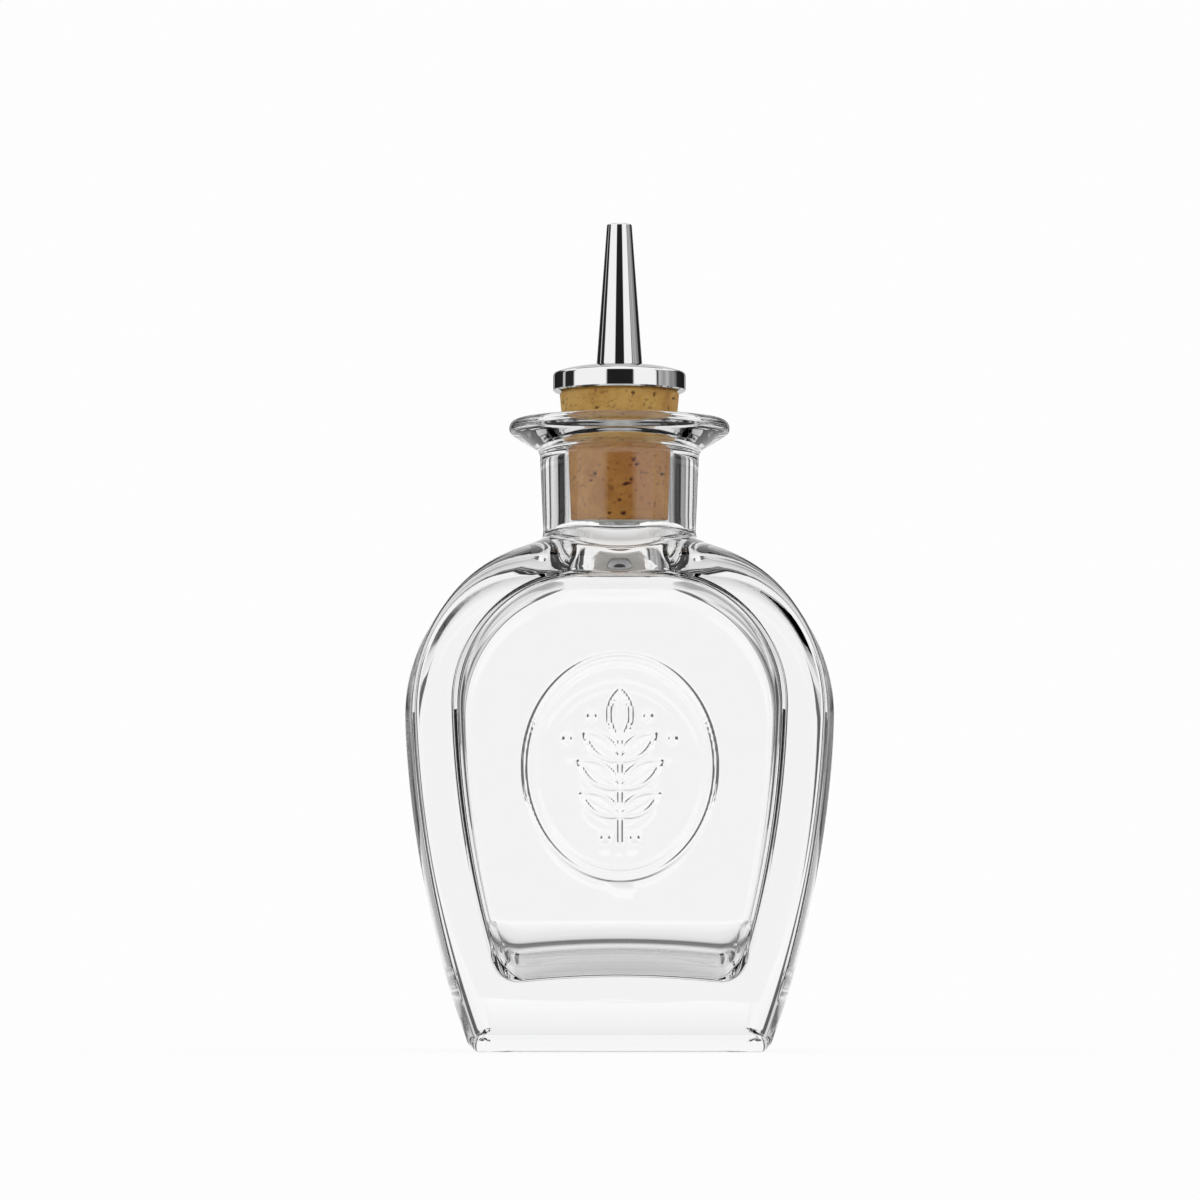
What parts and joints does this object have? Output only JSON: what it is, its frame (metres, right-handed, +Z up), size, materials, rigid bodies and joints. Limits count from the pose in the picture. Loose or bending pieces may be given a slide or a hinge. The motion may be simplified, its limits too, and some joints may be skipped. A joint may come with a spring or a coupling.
{
  "type": "bitters bottle",
  "caption": "Flat-sided, thick-walled glass bitters bottle with a round neck and lip, closed by a cork stopper that carries a metal dasher spout.",
  "frame": {"origin": "centre of the base, on the plane that the bottle stands on", "axes": "+Z up along the axis of neck and spout; +X across the wide side; the flat faces look along -Y and +Y"},
  "size_m": [0.0718, 0.045, 0.1382],
  "materials": {
    "glass": "clear, thick, fire-polished",
    "cork": "natural cork, matt, with dark pores",
    "polished_metal": "mirror polished",
    "stem_metal": "as turned"
  },
  "bodies": {
    "bottle": {"glass_bottle": "glass"},
    "stopper": {"cork_stopper": "cork"},
    "dasher": {"dasher_cap": "polished_metal", "pour_spout": "polished_metal", "stem_tube": "stem_metal"}
  },
  "joints": [
    {"name": "stopper_lift", "type": "slide", "parent": "bottle", "child": "stopper", "axis": [0, 0, 1], "range_m": [0, 0.04]},
    {"name": "dasher_turn", "type": "hinge", "parent": "stopper", "child": "dasher", "pos_m": [0, 0, 0.1], "axis": [0, 0, 1], "continuous": true}
  ]
}
